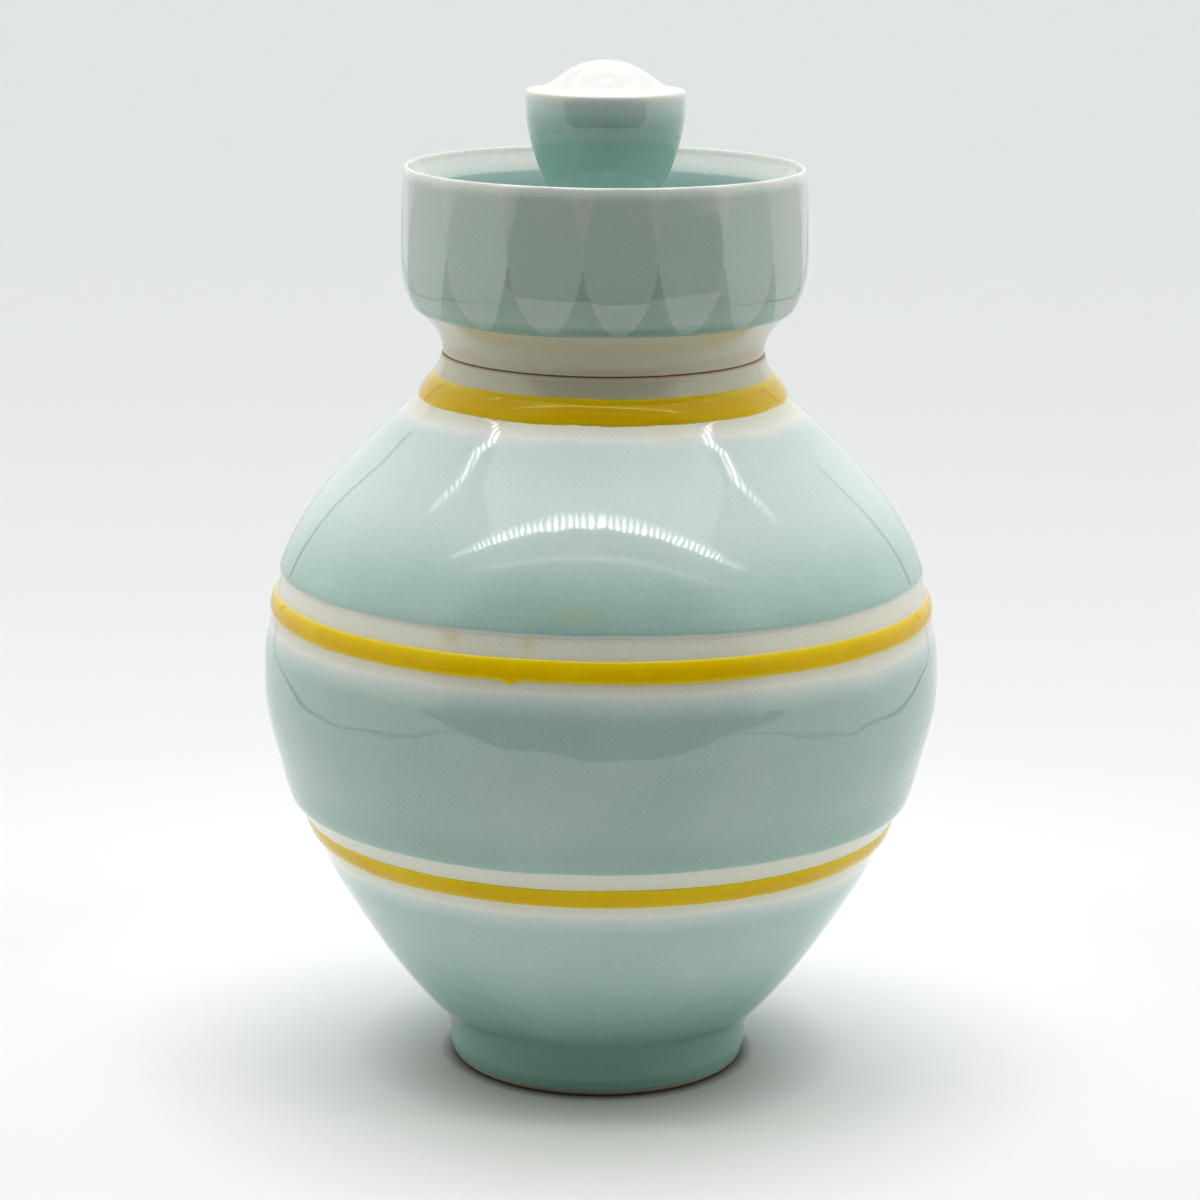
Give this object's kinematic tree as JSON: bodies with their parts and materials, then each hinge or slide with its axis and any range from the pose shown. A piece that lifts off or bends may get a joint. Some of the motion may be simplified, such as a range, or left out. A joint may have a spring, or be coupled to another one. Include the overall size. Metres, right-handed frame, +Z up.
{
  "type": "lidded jar",
  "caption": "Round-bellied porcelain jar with raised glaze rings, a turned foot and a lift-off petal-cut cup lid with a central knob.",
  "frame": {"origin": "centre of the face the foot ring rests on, at the bottom of the jar", "axes": "+Z up along the turning axis, through the knob; the picture looks along +Y, with +X to the right"},
  "size_m": [0.1466, 0.1466, 0.2199],
  "materials": {
    "celadon_porcelain": "gloss",
    "yellow_glaze": "gloss"
  },
  "bodies": {
    "jar": {"jar_body": "celadon_porcelain", "neck_glaze_ring": "yellow_glaze", "shoulder_glaze_ring": "yellow_glaze", "hip_glaze_ring": "yellow_glaze"},
    "lid": {"lid_cup": "celadon_porcelain", "lid_knob": "celadon_porcelain"}
  },
  "joints": [
    {"name": "lid_lift", "type": "slide", "parent": "jar", "child": "lid", "axis": [0, 0, 1], "range_m": [0, 0.1]}
  ]
}
